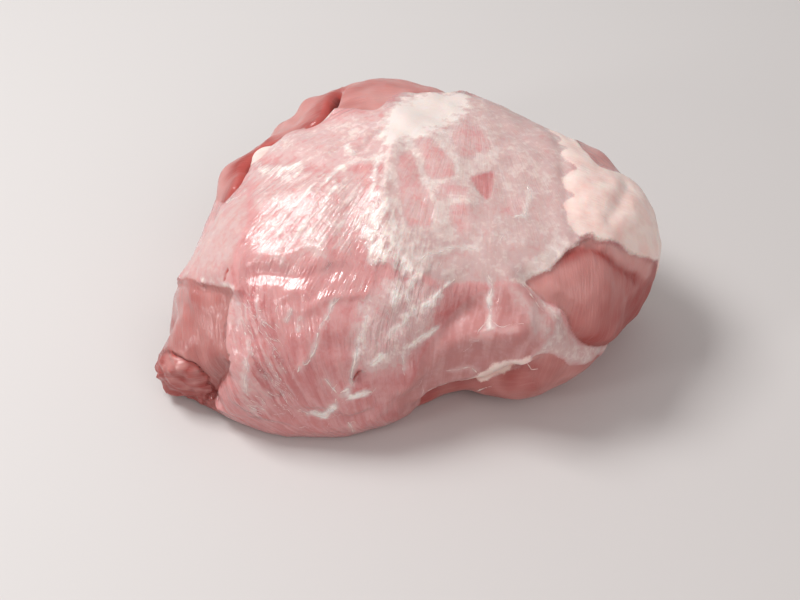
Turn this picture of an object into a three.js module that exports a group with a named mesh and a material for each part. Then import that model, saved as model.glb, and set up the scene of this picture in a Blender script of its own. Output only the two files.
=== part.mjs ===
// Raw boneless pork shoulder roast: one piece of meat, lying on its flat cut side.
// Muscle bellies swell under a skin of fascia and fat, with folds and slits between them.
// Millimetres, +Z up, the origin at the middle of the bottom of its bounding box.
import * as THREE from "three";
import { mergeVertices } from "three/addons/utils/BufferGeometryUtils.js";
import { ImprovedNoise } from "three/addons/math/ImprovedNoise.js";

// Driving sizes
const HEIGHT = 84; // crown above the resting face
const CROWN = new THREE.Vector2(3.5, 5); // crown from the middle of the outline
const MESH_STEPS = 30; // steps along each edge of the cube that is blown up into the skin

// The girth is the widest line round the meat. Every table starts at +X and goes round by way of +Y.
const GIRTH_RADIUS = [
  94, 82, 72, 69, 65, 64, 69, 78, 85, 86, 87, 90,
  96, 104, 113, 107.5, 98, 88, 75, 74, 87, 92, 93, 97,
];
const GIRTH_HEIGHT = [32, 34, 34, 34, 28, 18, 12, 12, 12, 18, 30, 32];
const FOOT_TUCK = [20, 17, 15, 14, 12, 8, 6, 6, 6, 12, 24, 20]; // the foot lies this far inside the girth
const SHOULDER = [0.75, 0.77, 0.78, 0.8, 0.84, 0.9, 0.95, 0.95, 0.93, 0.85, 0.78, 0.75]; // below 1 is fuller

// Shares of the way from the crown to the middle of the base
const FOOT = 1.35; // the girth is at 1, and the base begins here
const BASE_MIDDLE = 2;
const FOOT_ANGLE = THREE.MathUtils.degToRad(140); // how far down the blown-up cube the foot lies

// Places on the skin are [x, y] on a map: x and y give the direction from the crown, and their length
// over the girth radius gives the share of the way down.

// Bellies of muscle and pads of fat that swell out, or hollows where height is below 0
const SWELLINGS = [
  { at: [-36, -14], reach: 34, height: 3 }, // broad belly under the fascia
  { at: [-42, -62], reach: 26, height: 3 }, // front left belly
  { at: [60, -47], reach: 26, height: 5 }, // bare muscle at the right front
  { at: [50, -14], reach: 18, height: 3 }, // fat pad
  { at: [72, -16], reach: 20, height: 2.5 },
  { at: [-12, 34], reach: 26, height: 2.5 }, // bare muscle at the back
  { at: [-48, 34], reach: 18, height: 3 },
  { at: [-34, 36], reach: 8, height: 1.5 },
  { at: [-50, 30], reach: 9, height: -4 }, // dip between the back muscle and the one left of it
  { at: [-61, 14], reach: 9, height: 4 },
  { at: [54, 12], reach: 12, height: 3 }, // muscle that shows behind the fat pad
  { at: [26, -14], reach: 16, height: -1.5 }, // sunken fascia beside the fat pad
  { at: [-72, -6], reach: 15, height: -5 }, // hollow left side
  { at: [-91, -42], reach: 10, height: -4 },
  { at: [-90, -58], reach: 15, height: 6 }, // loose lobe at the left front
  { at: [-104, -61], reach: 8, height: 4 }, // tip of the lobe
  { at: [-20, -70], reach: 4, height: -1.5 }, // small pit
];

// Rounded ridges, or creases and slits where height is below 0, each along a line on the map
const fold = (width, height, ...line) => ({ width, height, line });
const FOLDS = [
  fold(4.2, -5, [-23, 38], [-25, 22], [-27, 16], [-32, 14]), // slit at the back
  fold(4.2, -4.5, [-40, 13], [-47, 15], [-51, 7], [-54, -2], [-61, -3]), // slit at the left
  fold(6, -6, [-61, -63], [-72, -68], [-77, -70], [-84, -76]), // between the lobe and the front belly
  fold(3.8, -2.5, [-88, -54], [-79, -56], [-77, -59], [-78, -64]), // cut across the lobe
  fold(3.6, -2.2, [35, -41], [42, -36], [50, -35], [58, -38], [69, -39], [80, -37]), // valley in bare muscle
  fold(4.4, -3.6, [24, -41], [37, -52], [51, -62], [60, -65], [71, -62], [84, -57]), // seam in front of it
  fold(4.5, -4, [17, -51], [10, -54], [2, -61], [-3, -68]), // furrow behind the front roll
  fold(6, 3.5, [36, -60], [19, -59], [9, -59], [3, -63], [-4, -70], [-12, -78]), // front roll
  fold(4.5, -6, [38, -73], [28, -77], [12, -77], [6, -80], [0, -86]), // under the front roll
  fold(3.4, -1, [38, 15], [37, 0], [38, -14], [39, -25], [44, -31]), // beside the fat pad
  fold(3.4, -1.5, [63, -3], [58, -12], [54, -20], [50, -26]), // between the two fat pads
  fold(3.5, -1.5, [-48, -35], [-31, -37], [-15, -37]), // shallow valley
  fold(4, -1.5, [-50, -42], [-52, -53], [-50, -62], [-49, -72]), // inside the front belly's rim
  fold(4, 1.2, [-5, 2], [-9, -14], [-10, -32], [-6, -46]), // thick strand of fascia
  fold(7, -3, [10, 84], [24, 52], [20, 30]), // seams of the far side
  fold(6, -3, [-60, 60], [-44, 44], [-36, 22]),
  fold(6, -3, [100, 30], [74, 14], [60, 4]),
];

// Edges where one layer lies over the next: the side to the left of the line stands higher
const LIP = 2.4; // half the width over which a ledge rises
const ledge = (reach, height, ...line) => ({ reach, height, line });
const LEDGES = [
  ledge(16, -3, [-90, -84], [-77, -71], [-62, -64], [-59, -55], [-54, -43]), // front belly over the lobe
  ledge(16, -3, [-54, -43], [-63, -38], [-76, -30], [-92, -20]), // fascia over the lobe
  ledge(12, 1.8, [30, -46], [40, -35], [46, -31], [58, -31], [75, -31], [96, -24]), // fat pad
  ledge(14, -2, [-46, 14], [-25, 15], [-12, 13], [-6, 20], [6, 25], [24, 50]), // fascia over the back muscle
  ledge(9, 1.6, [31, -47], [40, -54], [51, -62], [60, -65], [72, -62], [84, -57]), // muscle over the roll
  ledge(10, 3, [0, -86], [7, -79], [20, -76], [28, -76], [35, -73], [44, -70]), // roll over the undercut
];

const LUMP = { size: 26, height: 1.1 }; // uneven swelling all over
const CRAG = { size: 8, height: 0.4 }; // finer unevenness

// Reads a table at an angle, by a smooth curve through values that are evenly spaced round a circle.
function readRound(table, angle) {
  const turns = THREE.MathUtils.euclideanModulo(angle / (2 * Math.PI), 1) * table.length;
  const i = Math.floor(turns);
  const t = turns - i;
  const [a, b, c, d] = [-1, 0, 1, 2].map((k) => table[(i + k + table.length) % table.length]);
  return b + 0.5 * t * (c - a + t * (2 * a - 5 * b + 4 * c - d + t * (3 * (b - c) + d - a)));
}

// The plain form before its relief: a dome down to the girth, a tuck to the foot, then the flat base.
function formPoint(angle, share) {
  const girth = readRound(GIRTH_RADIUS, angle);
  const girthHeight = readRound(GIRTH_HEIGHT, angle);
  const tuck = readRound(FOOT_TUCK, angle);
  let radius, z;
  if (share <= 1) {
    const drop = (share * Math.PI) / 2;
    radius = girth * Math.sin(drop);
    z = girthHeight + (HEIGHT - girthHeight) * Math.max(Math.cos(drop), 0) ** readRound(SHOULDER, angle);
  } else if (share <= FOOT) {
    const drop = ((share - 1) / (FOOT - 1)) * (Math.PI / 2);
    radius = girth - tuck * (1 - Math.cos(drop));
    z = girthHeight * (1 - Math.sin(drop));
  } else {
    radius = (girth - tuck) * ((BASE_MIDDLE - share) / (BASE_MIDDLE - FOOT));
    z = 0;
  }
  return new THREE.Vector3(CROWN.x + radius * Math.cos(angle), CROWN.y + radius * Math.sin(angle), z);
}

function mapPoint([x, y]) {
  const angle = Math.atan2(y, x);
  return formPoint(angle, Math.hypot(x, y) / readRound(GIRTH_RADIUS, angle));
}

// A line on the map as a smooth run of points on the form.
function lineOnForm(line) {
  const stepsPerPoint = 6;
  const places = line.map(([x, y]) => new THREE.Vector3(x, y, 0));
  const curve = new THREE.CatmullRomCurve3(places, false, "catmullrom");
  return curve.getPoints(stepsPerPoint * (line.length - 1)).map((p) => mapPoint([p.x, p.y]));
}

// How near a point is to a run of points: the distance, the side it is on, and the share along the run.
function nearest(points, p, normal) {
  const best = { distance: Infinity, side: 1, along: 0 };
  const closest = new THREE.Vector3();
  for (let i = 0; i + 1 < points.length; i++) {
    const segment = new THREE.Line3(points[i], points[i + 1]);
    const t = segment.closestPointToPointParameter(p, true);
    const distance = segment.at(t, closest).distanceTo(p);
    if (distance >= best.distance) continue;
    const across = new THREE.Vector3().crossVectors(normal, segment.delta(new THREE.Vector3()));
    best.distance = distance;
    best.side = Math.sign(across.dot(p.clone().sub(closest))) || 1;
    best.along = (i + t) / (points.length - 1);
  }
  return best;
}

const bell = (x) => Math.exp(-x * x);
const taper = (along) => THREE.MathUtils.smoothstep(Math.min(along, 1 - along), -0.04, 0.14);

const swellings = SWELLINGS.map((s) => ({ ...s, centre: mapPoint(s.at) }));
const folds = FOLDS.map((f) => ({ ...f, points: lineOnForm(f.line) }));
const ledges = LEDGES.map((l) => ({ ...l, points: lineOnForm(l.line) }));
const noise = new ImprovedNoise();

// How far the skin stands out of the plain form at a point.
function relief(p, normal) {
  let height = 0;
  for (const s of swellings) height += s.height * bell(p.distanceTo(s.centre) / s.reach);
  for (const f of folds) {
    const near = nearest(f.points, p, normal);
    height += f.height * bell(near.distance / f.width) * taper(near.along);
  }
  for (const l of ledges) {
    const near = nearest(l.points, p, normal);
    const lip = THREE.MathUtils.smoothstep(near.side * near.distance, -LIP, LIP);
    height += l.height * (lip - 0.5) * bell(near.distance / l.reach) * taper(near.along);
  }
  for (const { size, height: swell } of [LUMP, CRAG]) {
    height += swell * 2 * noise.noise(p.x / size + 5.3, p.y / size + 1.7, p.z / size + 8.1);
  }
  return height;
}

// The skin: a cube of even squares, blown up into a ball, then drawn down over the form.
function roastGeometry() {
  const cube = new THREE.BoxGeometry(2, 2, 2, MESH_STEPS, MESH_STEPS, MESH_STEPS);
  cube.deleteAttribute("normal");
  cube.deleteAttribute("uv");
  const geometry = mergeVertices(cube, 1e-5);
  const position = geometry.getAttribute("position");
  const shares = [];
  const p = new THREE.Vector3();
  for (let i = 0; i < position.count; i++) {
    p.fromBufferAttribute(position, i);
    const even = p.toArray().map((v) => Math.tan((v * Math.PI) / 4)); // squares of like size over the ball
    p.fromArray(even).normalize();
    const down = Math.acos(p.z);
    const share =
      down < FOOT_ANGLE
        ? (down / FOOT_ANGLE) * FOOT
        : FOOT + ((down - FOOT_ANGLE) / (Math.PI - FOOT_ANGLE)) * (BASE_MIDDLE - FOOT);
    shares.push(share);
    const onForm = formPoint(Math.atan2(p.y, p.x), share);
    position.setXYZ(i, onForm.x, onForm.y, onForm.z);
  }
  geometry.computeVertexNormals();
  const normals = geometry.getAttribute("normal");
  const n = new THREE.Vector3();
  for (let i = 0; i < position.count; i++) {
    p.fromBufferAttribute(position, i);
    n.fromBufferAttribute(normals, i);
    const fade = 1 - THREE.MathUtils.smoothstep(shares[i], 1.2, FOOT);
    p.addScaledVector(n, relief(p, n) * fade);
    position.setXYZ(i, p.x, p.y, Math.max(p.z, 0));
  }
  geometry.computeVertexNormals();
  return geometry;
}

const meat = new THREE.MeshStandardMaterial({ color: 0xd49a96, roughness: 0.4, metalness: 0 });
const roast = new THREE.Mesh(roastGeometry(), meat);
roast.name = "pork_shoulder";

const part = new THREE.Group();
part.add(roast);

export default part;
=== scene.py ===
import math

import bpy
import numpy as np
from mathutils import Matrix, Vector, noise


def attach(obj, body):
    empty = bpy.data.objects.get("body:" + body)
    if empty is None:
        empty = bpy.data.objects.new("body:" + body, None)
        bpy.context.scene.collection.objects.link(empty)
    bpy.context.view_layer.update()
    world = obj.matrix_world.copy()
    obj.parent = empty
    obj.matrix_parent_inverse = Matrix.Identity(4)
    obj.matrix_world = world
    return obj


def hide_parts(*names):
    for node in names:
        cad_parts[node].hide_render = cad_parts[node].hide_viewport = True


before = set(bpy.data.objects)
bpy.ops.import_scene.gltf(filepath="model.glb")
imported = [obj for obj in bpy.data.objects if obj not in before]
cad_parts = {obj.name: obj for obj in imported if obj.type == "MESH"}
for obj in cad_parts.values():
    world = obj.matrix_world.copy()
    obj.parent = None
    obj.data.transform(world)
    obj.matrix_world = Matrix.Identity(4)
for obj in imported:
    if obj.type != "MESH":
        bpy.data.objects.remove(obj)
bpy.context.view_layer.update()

# The roast: one boneless piece of pork shoulder, trimmed of rind, lying on its flat cut side.
# Its form is that of the solid, with the same driving sizes, and a finer skin is drawn over it.
# Millimetres, with the origin at the middle of the bottom of the bounding box.
MM = 0.001
HEIGHT = 84
CROWN = (3.5, 5)
SKIN_STEPS = 118

# The girth is the widest line round the meat. Every table starts at +X and goes round by way of +Y.
GIRTH_RADIUS = [
    94, 82, 72, 69, 65, 64, 69, 78, 85, 86, 87, 90,
    96, 104, 113, 107.5, 98, 88, 75, 74, 87, 92, 93, 97,
]
GIRTH_HEIGHT = [32, 34, 34, 34, 28, 18, 12, 12, 12, 18, 30, 32]
FOOT_TUCK = [20, 17, 15, 14, 12, 8, 6, 6, 6, 12, 24, 20]
SHOULDER = [0.75, 0.77, 0.78, 0.8, 0.84, 0.9, 0.95, 0.95, 0.93, 0.85, 0.78, 0.75]

# Shares of the way from the crown, by the girth at 1 and the foot, to the middle of the base
FOOT = 1.35
BASE_MIDDLE = 2
FOOT_ANGLE = math.radians(155)

# Bellies of muscle and pads of fat, or hollows where the height is below 0: place, reach, height
SWELLINGS = [
    ((-36, -14), 34, 3), ((-42, -62), 26, 3), ((60, -47), 26, 5), ((50, -14), 18, 3),
    ((72, -16), 20, 2.5), ((-12, 34), 26, 2.5), ((-48, 34), 18, 3), ((54, 12), 12, 3),
    ((26, -14), 16, -1.5), ((-90, -58), 15, 6), ((-20, -70), 4, -1.5), ((-61, 14), 9, 4),
    ((-50, 30), 9, -4), ((-34, 36), 8, 1.5), ((-72, -6), 15, -5), ((-91, -42), 10, -4),
    ((-104, -61), 8, 4), ((58, 8), 9, 1), ((-46, 9), 4, 2),
]

# Slits between muscles, red inside, and then all folds: rounded ridges, or creases where the height is
# below 0. Each has a line on the map, its width and its height.
SLITS = [
    ([(-23, 38), (-24, 30), (-25, 22), (-27, 16), (-32, 14)], 2.6, -6.5),
    ([(-40, 13), (-47, 15), (-51, 10), (-51, 4), (-54, -2), (-61, -3)], 2.4, -5.5),
    ([(-90, -53), (-86, -53), (-83, -56), (-79, -60), (-79, -64), (-81, -68)], 0.9, -1.4),
    ([(-55, -38.5), (-52, -35.5)], 0.7, -1.2),
    ([(-19, -69), (-22, -72)], 0.8, -0.8),
]
FOLDS = SLITS + [
    ([(-18, -69), (-20, -71), (-22, -72)], 2.2, -1.3),
    ([(-61, -63), (-72, -68), (-77, -70), (-84, -76)], 5.5, -4),
    ([(-74, -36), (-72, -49), (-73, -56), (-77, -62), (-80, -67)], 2.2, -1),
    ([(44, -32.5), (48, -33), (53, -34.5), (59, -36.5), (68, -37), (80, -36)], 2.2, -1.3),
    ([(24, -41), (31, -47), (37, -52), (44, -55), (51, -62), (60, -65), (71, -62), (84, -57)], 3.8, -3.6),
    ([(17, -51), (10, -54), (6, -57), (2, -61), (-3, -68)], 5.2, -3.6),
    ([(36, -60), (29, -61), (19, -59), (9, -59), (3, -63), (-4, -70), (-12, -78)], 6, 3.5),
    ([(38, -73), (33, -75), (28, -77), (20, -77), (12, -77), (6, -80), (0, -86)], 4.5, -6),
    ([(38, 15), (37, 0), (38, -14), (39, -25), (44, -31)], 2.4, -0.8),
    ([(-49, -38), (-40, -39), (-32, -41), (-23, -40), (-15, -41)], 3.2, -1.5),
    ([(-45, -34), (-36, -35), (-29, -33), (-23, -35)], 2.2, 0.6),
    ([(-39, -47), (-34, -45), (-29, -46)], 2, 0.6),
    ([(-33, -51), (-29, -49), (-25, -47), (-20, -47), (-13, -46)], 1.8, 0.7),
    ([(-57, -45.5), (-66, -40.5), (-78, -33.5), (-92, -24.5)], 5, 1.2),
    ([(-47.5, -55), (-45.5, -59.5), (-44, -64.5), (-42.5, -70), (-40.5, -75)], 1.3, 0.8),
    ([(-51.5, -54), (-51.5, -60), (-52, -66.5), (-53, -74), (-54.5, -79.5)], 1.3, 0.8),
    ([(-47.5, -61), (-48, -65), (-48, -70), (-49, -76)], 1.2, 0.7),
    ([(-45, -46), (-43, -49), (-40.5, -52.5)], 1.2, 0.6),
    ([(-66.5, -72.5), (-62.5, -77), (-57, -81.5), (-46, -85)], 1.6, 0.8),
    ([(-34, -55), (-33.5, -60.5), (-37, -67)], 1.4, 0.6),
    ([(-15, 1), (-19, -1), (-23, -5)], 1.5, -0.9),
    ([(-9, 4), (-13, -2), (-17, -7)], 1.5, -1.1),
    ([(-50, -42), (-52, -53), (-50, -62), (-49, -72)], 4, -1.5),
    ([(-50, -66), (-49, -71), (-49, -76)], 2.5, -1.8),
    ([(-5, 2), (-9, -14), (-10, -32), (-6, -46)], 4, 1.2),
    ([(63, -3), (58, -12), (54, -20), (50, -26)], 3, -1.5),
    ([(10, 84), (24, 52), (20, 30)], 7, -3),
    ([(-60, 60), (-44, 44), (-36, 22)], 6, -3),
    ([(100, 30), (74, 14), (60, 4)], 6, -3),
    ([(-44, -81), (-34, -82), (-27, -85), (-16, -81)], 2.5, -1.5),
]

# Edges where one layer lies over the next, the side to the left of the line higher: line, height, reach.
# LIP is half the width over which they rise.
LEDGES = [
    ([(-90, -84), (-77, -71), (-62, -64), (-59, -55), (-55, -45), (-51, -39)], -3.2, 16),
    ([(-46, -44), (-54, -42), (-63, -38), (-76, -30), (-92, -20)], -1.8, 16),
    ([(30, -46), (35, -42), (40, -35), (46, -31), (58, -31), (75, -31), (96, -24)], 0.8, 12),
    ([
        (-46, 14), (-37, 14), (-25, 15), (-22, 17), (-12, 13), (-6, 20), (6, 25), (14, 34), (24, 50),
    ], -2, 14),
    ([(31, -47), (40, -54), (51, -62), (60, -65), (72, -62), (84, -57)], 1.6, 9),
    ([(0, -86), (7, -79), (20, -76), (28, -76), (35, -73), (44, -70)], 3, 10),
]
LIP = 1.4

# Unevenness all over: size, height
LUMP = (26, 1.1)
CRAG = (8, 0.4)


def read_round(table, angle):
    """A table of values spaced evenly round a circle, read by a smooth curve through them."""
    values = np.asarray(table, float)
    turns = angle / (2 * np.pi) % 1 * len(values)
    first = np.floor(turns).astype(int)
    t = turns - first
    a, b, c, d = (values[(first + k) % len(values)] for k in (-1, 0, 1, 2))
    return b + 0.5 * t * (c - a + t * (2 * a - 5 * b + 4 * c - d + t * (3 * (b - c) + d - a)))


def on_form(angle, share):
    """The plain form before its relief: a dome down to the girth, a tuck to the foot, then the base."""
    girth, girth_height = read_round(GIRTH_RADIUS, angle), read_round(GIRTH_HEIGHT, angle)
    dome = np.clip(share, 0, 1) * np.pi / 2
    tucked = np.clip((share - 1) / (FOOT - 1), 0, 1) * np.pi / 2
    over_base = np.clip((BASE_MIDDLE - share) / (BASE_MIDDLE - FOOT), 0, 1)
    foot_radius = girth - read_round(FOOT_TUCK, angle) * (1 - np.cos(tucked))
    radius = np.where(share <= 1, girth * np.sin(dome), foot_radius * over_base)
    rise = (HEIGHT - girth_height) * np.maximum(np.cos(dome), 0) ** read_round(SHOULDER, angle)
    z = np.where(share <= 1, girth_height + rise, girth_height * (1 - np.sin(tucked)))
    return np.stack([CROWN[0] + radius * np.cos(angle), CROWN[1] + radius * np.sin(angle), z], -1)


def from_map(places):
    """Places on the map as points on the form. A place gives direction and share of the girth radius."""
    x, y = np.asarray(places, float).T
    angle = np.arctan2(y, x)
    return on_form(angle, np.hypot(x, y) / read_round(GIRTH_RADIUS, angle))


def smooth_line(line, closed=False, steps=6):
    """A smooth curve through the points of a line, as a run of points."""
    p = np.asarray(line, float)
    ends = (p[-1:], p[:2]) if closed else (2 * p[:1] - p[1:2], 2 * p[-1:] - p[-2:-1])
    p = np.concatenate([ends[0], p, ends[1]])
    a, b, c, d = (p[k:len(p) - 3 + k, None] for k in range(4))
    t = (np.arange(steps) / steps)[None, :, None]
    run = b + 0.5 * t * (c - a + t * (2 * a - 5 * b + 4 * c - d + t * (3 * (b - c) + d - a)))
    run = run.reshape(-1, p.shape[1])
    return np.concatenate([run, run[:1] if closed else p[-2:-1]])


def nearest(line, points, normals, reach, closed=False):
    """Distance of each point to a line on the map, the side it is on, and the share along the line."""
    run = from_map(smooth_line(line, closed))
    distance = np.full(len(points), float(reach))
    side = np.ones(len(points))
    along = np.zeros(len(points))
    near = np.flatnonzero(((points > run.min(0) - reach) & (points < run.max(0) + reach)).all(1))
    p, n = points[near], normals[near]
    d, s, a = distance[near], side[near], along[near]
    for i, (start, step) in enumerate(zip(run[:-1], np.diff(run, axis=0))):
        from_start = p - start
        t = np.clip(from_start @ step / max(step @ step, 1e-9), 0, 1)
        off = from_start - t[:, None] * step
        length = np.linalg.norm(off, axis=1)
        closer = length < d
        d[closer] = length[closer]
        s[closer] = np.sign((np.cross(n[closer], step) * off[closer]).sum(1))
        a[closer] = (i + t[closer]) / (len(run) - 1)
    distance[near], side[near], along[near] = d, s, a
    return distance, side, along


def smoothstep(x, low, high):
    t = np.clip((x - low) / (high - low), 0, 1)
    return t * t * (3 - 2 * t)


def bell(x):
    return np.exp(-x * x)


def taper(along, blunt=0.04):
    return smoothstep(np.minimum(along, 1 - along), -blunt, 0.14)


def noise_at(points, size, seed=0.0):
    """Smooth noise from about -1 to 1 at each point, with features of a given size."""
    start = (5.3 + seed, 1.7, 8.1)
    return np.array([noise.noise(Vector(p)) for p in points / np.asarray(size, float) + start])


def ball(steps):
    """A cube of even squares, blown up into a ball: its points and its four-sided faces."""
    grid = np.tan(np.linspace(-1, 1, steps + 1) * np.pi / 4)
    a, b = (g.ravel() for g in np.meshgrid(grid, grid, indexing="ij"))
    one = np.ones_like(a)
    sides = [(a, b, one), (b, a, -one), (one, a, b), (-one, b, a), (b, one, a), (a, -one, b)]
    corner = np.arange((steps + 1) ** 2).reshape(steps + 1, steps + 1)
    square = np.stack([corner[:-1, :-1], corner[1:, :-1], corner[1:, 1:], corner[:-1, 1:]], -1)
    square = square.reshape(-1, 4)
    points = np.concatenate([np.stack(s, 1) for s in sides])
    faces = np.concatenate([square + i * corner.size for i in range(len(sides))])
    rounded = np.round(points * 1e6).astype(np.int64)
    _, first, same = np.unique(rounded, axis=0, return_index=True, return_inverse=True)
    points = points[first]
    return points / np.linalg.norm(points, axis=1, keepdims=True), same.ravel()[faces]


def vertex_normals(points, faces):
    a, b, c, d = (points[corner] for corner in faces.T)
    across = np.cross(c - a, d - b)
    total = np.zeros_like(points)
    for corner in faces.T:
        np.add.at(total, corner, across)
    return total / np.maximum(np.linalg.norm(total, axis=1, keepdims=True), 1e-12)


def relief_at(points, normals, ragged):
    """How far the skin stands out of the plain form at each point, with the ledges moved by ragged."""
    relief = np.zeros(len(points))
    for place, reach, height in SWELLINGS:
        relief += height * bell(np.linalg.norm(points - from_map([place]), axis=1) / reach)
    for line, width, height in FOLDS:
        distance, _, along = nearest(line, points, normals, 3 * width)
        relief += height * bell(distance / width) * taper(along)
    for line, height, reach in LEDGES:
        distance, side, along = nearest(line, points, normals, 3 * reach)
        step = smoothstep(side * distance + ragged, -LIP, LIP) - 0.5
        relief += height * step * bell(distance / reach) * taper(along, 0)
    for size, height in (LUMP, CRAG):
        relief += 2 * height * noise_at(points, size)
    return relief


# The plain form, with each point's place on the map
directions, skin_faces = ball(SKIN_STEPS)
angle = np.arctan2(directions[:, 1], directions[:, 0])
down = np.arccos(np.clip(directions[:, 2], -1, 1))
over_base = (down - FOOT_ANGLE) / (math.pi - FOOT_ANGLE)
share = np.where(down < FOOT_ANGLE, down / FOOT_ANGLE * FOOT, FOOT + over_base * (BASE_MIDDLE - FOOT))
form = on_form(angle, share)
form_normals = vertex_normals(form, skin_faces)
map_radius = share * read_round(GIRTH_RADIUS, angle)
on_map = np.stack([map_radius * np.cos(angle), map_radius * np.sin(angle)], 1)

# Bare muscle, where the fascia is cut away: how red it is high up and low down, and its outline. The
# darker red low down is partly the muscle's own colour and partly a painted shade of the lower sides.
BARE = {
    "back muscle": (0.58, 0.72, [
        (-70, 10), (-64, 2), (-57, -5), (-51, -2), (-49, 4), (-48, 10), (-46, 14), (-42, 10),
        (-37, 14), (-30, 14), (-25, 15), (-22, 17), (-15, 14), (-10, 15), (-6, 20), (0, 24), (6, 25),
        (12, 30), (19, 38), (22, 47), (24, 53), (19, 64), (16, 70), (13, 80), (6, 92), (-2, 108),
        (-70, 100), (-112, 56), (-108, 40), (-98, 33), (-92, 21), (-82, 18),
    ]),
    "left lobe": (0.7, 0.95, [
        (-100, -15), (-76, -29), (-69, -32.5), (-63, -37), (-56, -40), (-52, -42), (-55, -45),
        (-59, -51), (-60, -56), (-59, -60), (-62, -64), (-70, -68), (-77, -71), (-84, -75),
        (-100, -96), (-135, -90), (-140, -40),
    ]),
    "tip of the lobe": (0.42, 0.9, [
        (-97, -51), (-87, -53), (-83, -55), (-79, -59), (-79, -64), (-81, -69), (-90, -75),
        (-108, -80), (-122, -66), (-112, -52),
    ]),
    "right muscle": (0.54, 1.06, [
        (29, -46), (35, -42), (40, -35), (43, -33), (46, -31), (50, -31), (58, -31), (66, -31),
        (76, -29), (110, -22), (130, -40), (116, -66), (84, -57), (71, -62), (60, -65), (51, -62),
        (44, -55), (37, -52),
    ]),
    "under the fat pad": (0.3, 0.8, [
        (42, -33), (46, -30.5), (49, -32), (55, -31), (64, -31), (73, -31), (82, -30), (80, -34),
        (73, -34.5), (64, -36), (56, -34.5), (49, -33.5), (45, -34),
    ]),
    "behind the fat pad": (0.6, 0.9, [
        (46, 10), (50, 14), (57, 13), (63, 7), (66, 2), (60, 0), (52, 0), (47, 4),
    ]),
    # Under the roll the darker red is partly a painted shade of the overhang
    "under the roll": (0.25, 0.75, [
        (-2, -92), (6, -81), (14, -78), (22, -77.5), (28, -79.5), (35, -77), (42, -76), (58, -90),
        (40, -104), (0, -108),
    ]),
    "below the wedge": (0.2, 0.7, [
        (38, -73), (44, -69), (50, -70.5), (58, -71.5), (69, -67.5), (80, -62.5), (100, -66),
        (94, -96), (54, -104),
    ]),
}

# Fat that lies on the meat with an edge of its own
FAT = {
    "fat pad": [
        (38, 18), (41, 20), (45, 15), (46, 8), (48, 0), (55, -2), (61, 1), (66, 0), (71, 5), (79, 5),
        (84, 10), (94, 8), (104, 13), (116, 8), (112, -16), (100, -20), (93, -27), (84, -26), (76, -29),
        (64, -31), (55, -30), (49, -31), (46, -29.5), (42, -31), (39, -27.5), (38.5, -24), (37, -21),
        (38.5, -18.5), (40, -16.5), (37.5, -14.5), (37, -11.5), (38.5, -9), (41, -7.5), (38.5, -5),
        (37, -2), (39.5, 1.5), (37.5, 4), (39, 7.5), (38, 12),
    ],
    "front strip": [
        (18, -74), (22, -71.5), (28, -70), (33, -69.5), (37, -68.5), (38, -71), (36, -75), (33, -78),
        (30, -79.5), (26, -80), (21, -77),
    ],
    "bump by the slit": [(-49, 6), (-48, 12), (-45, 13), (-42, 11), (-43, 6), (-46, 4)],
}

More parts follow.
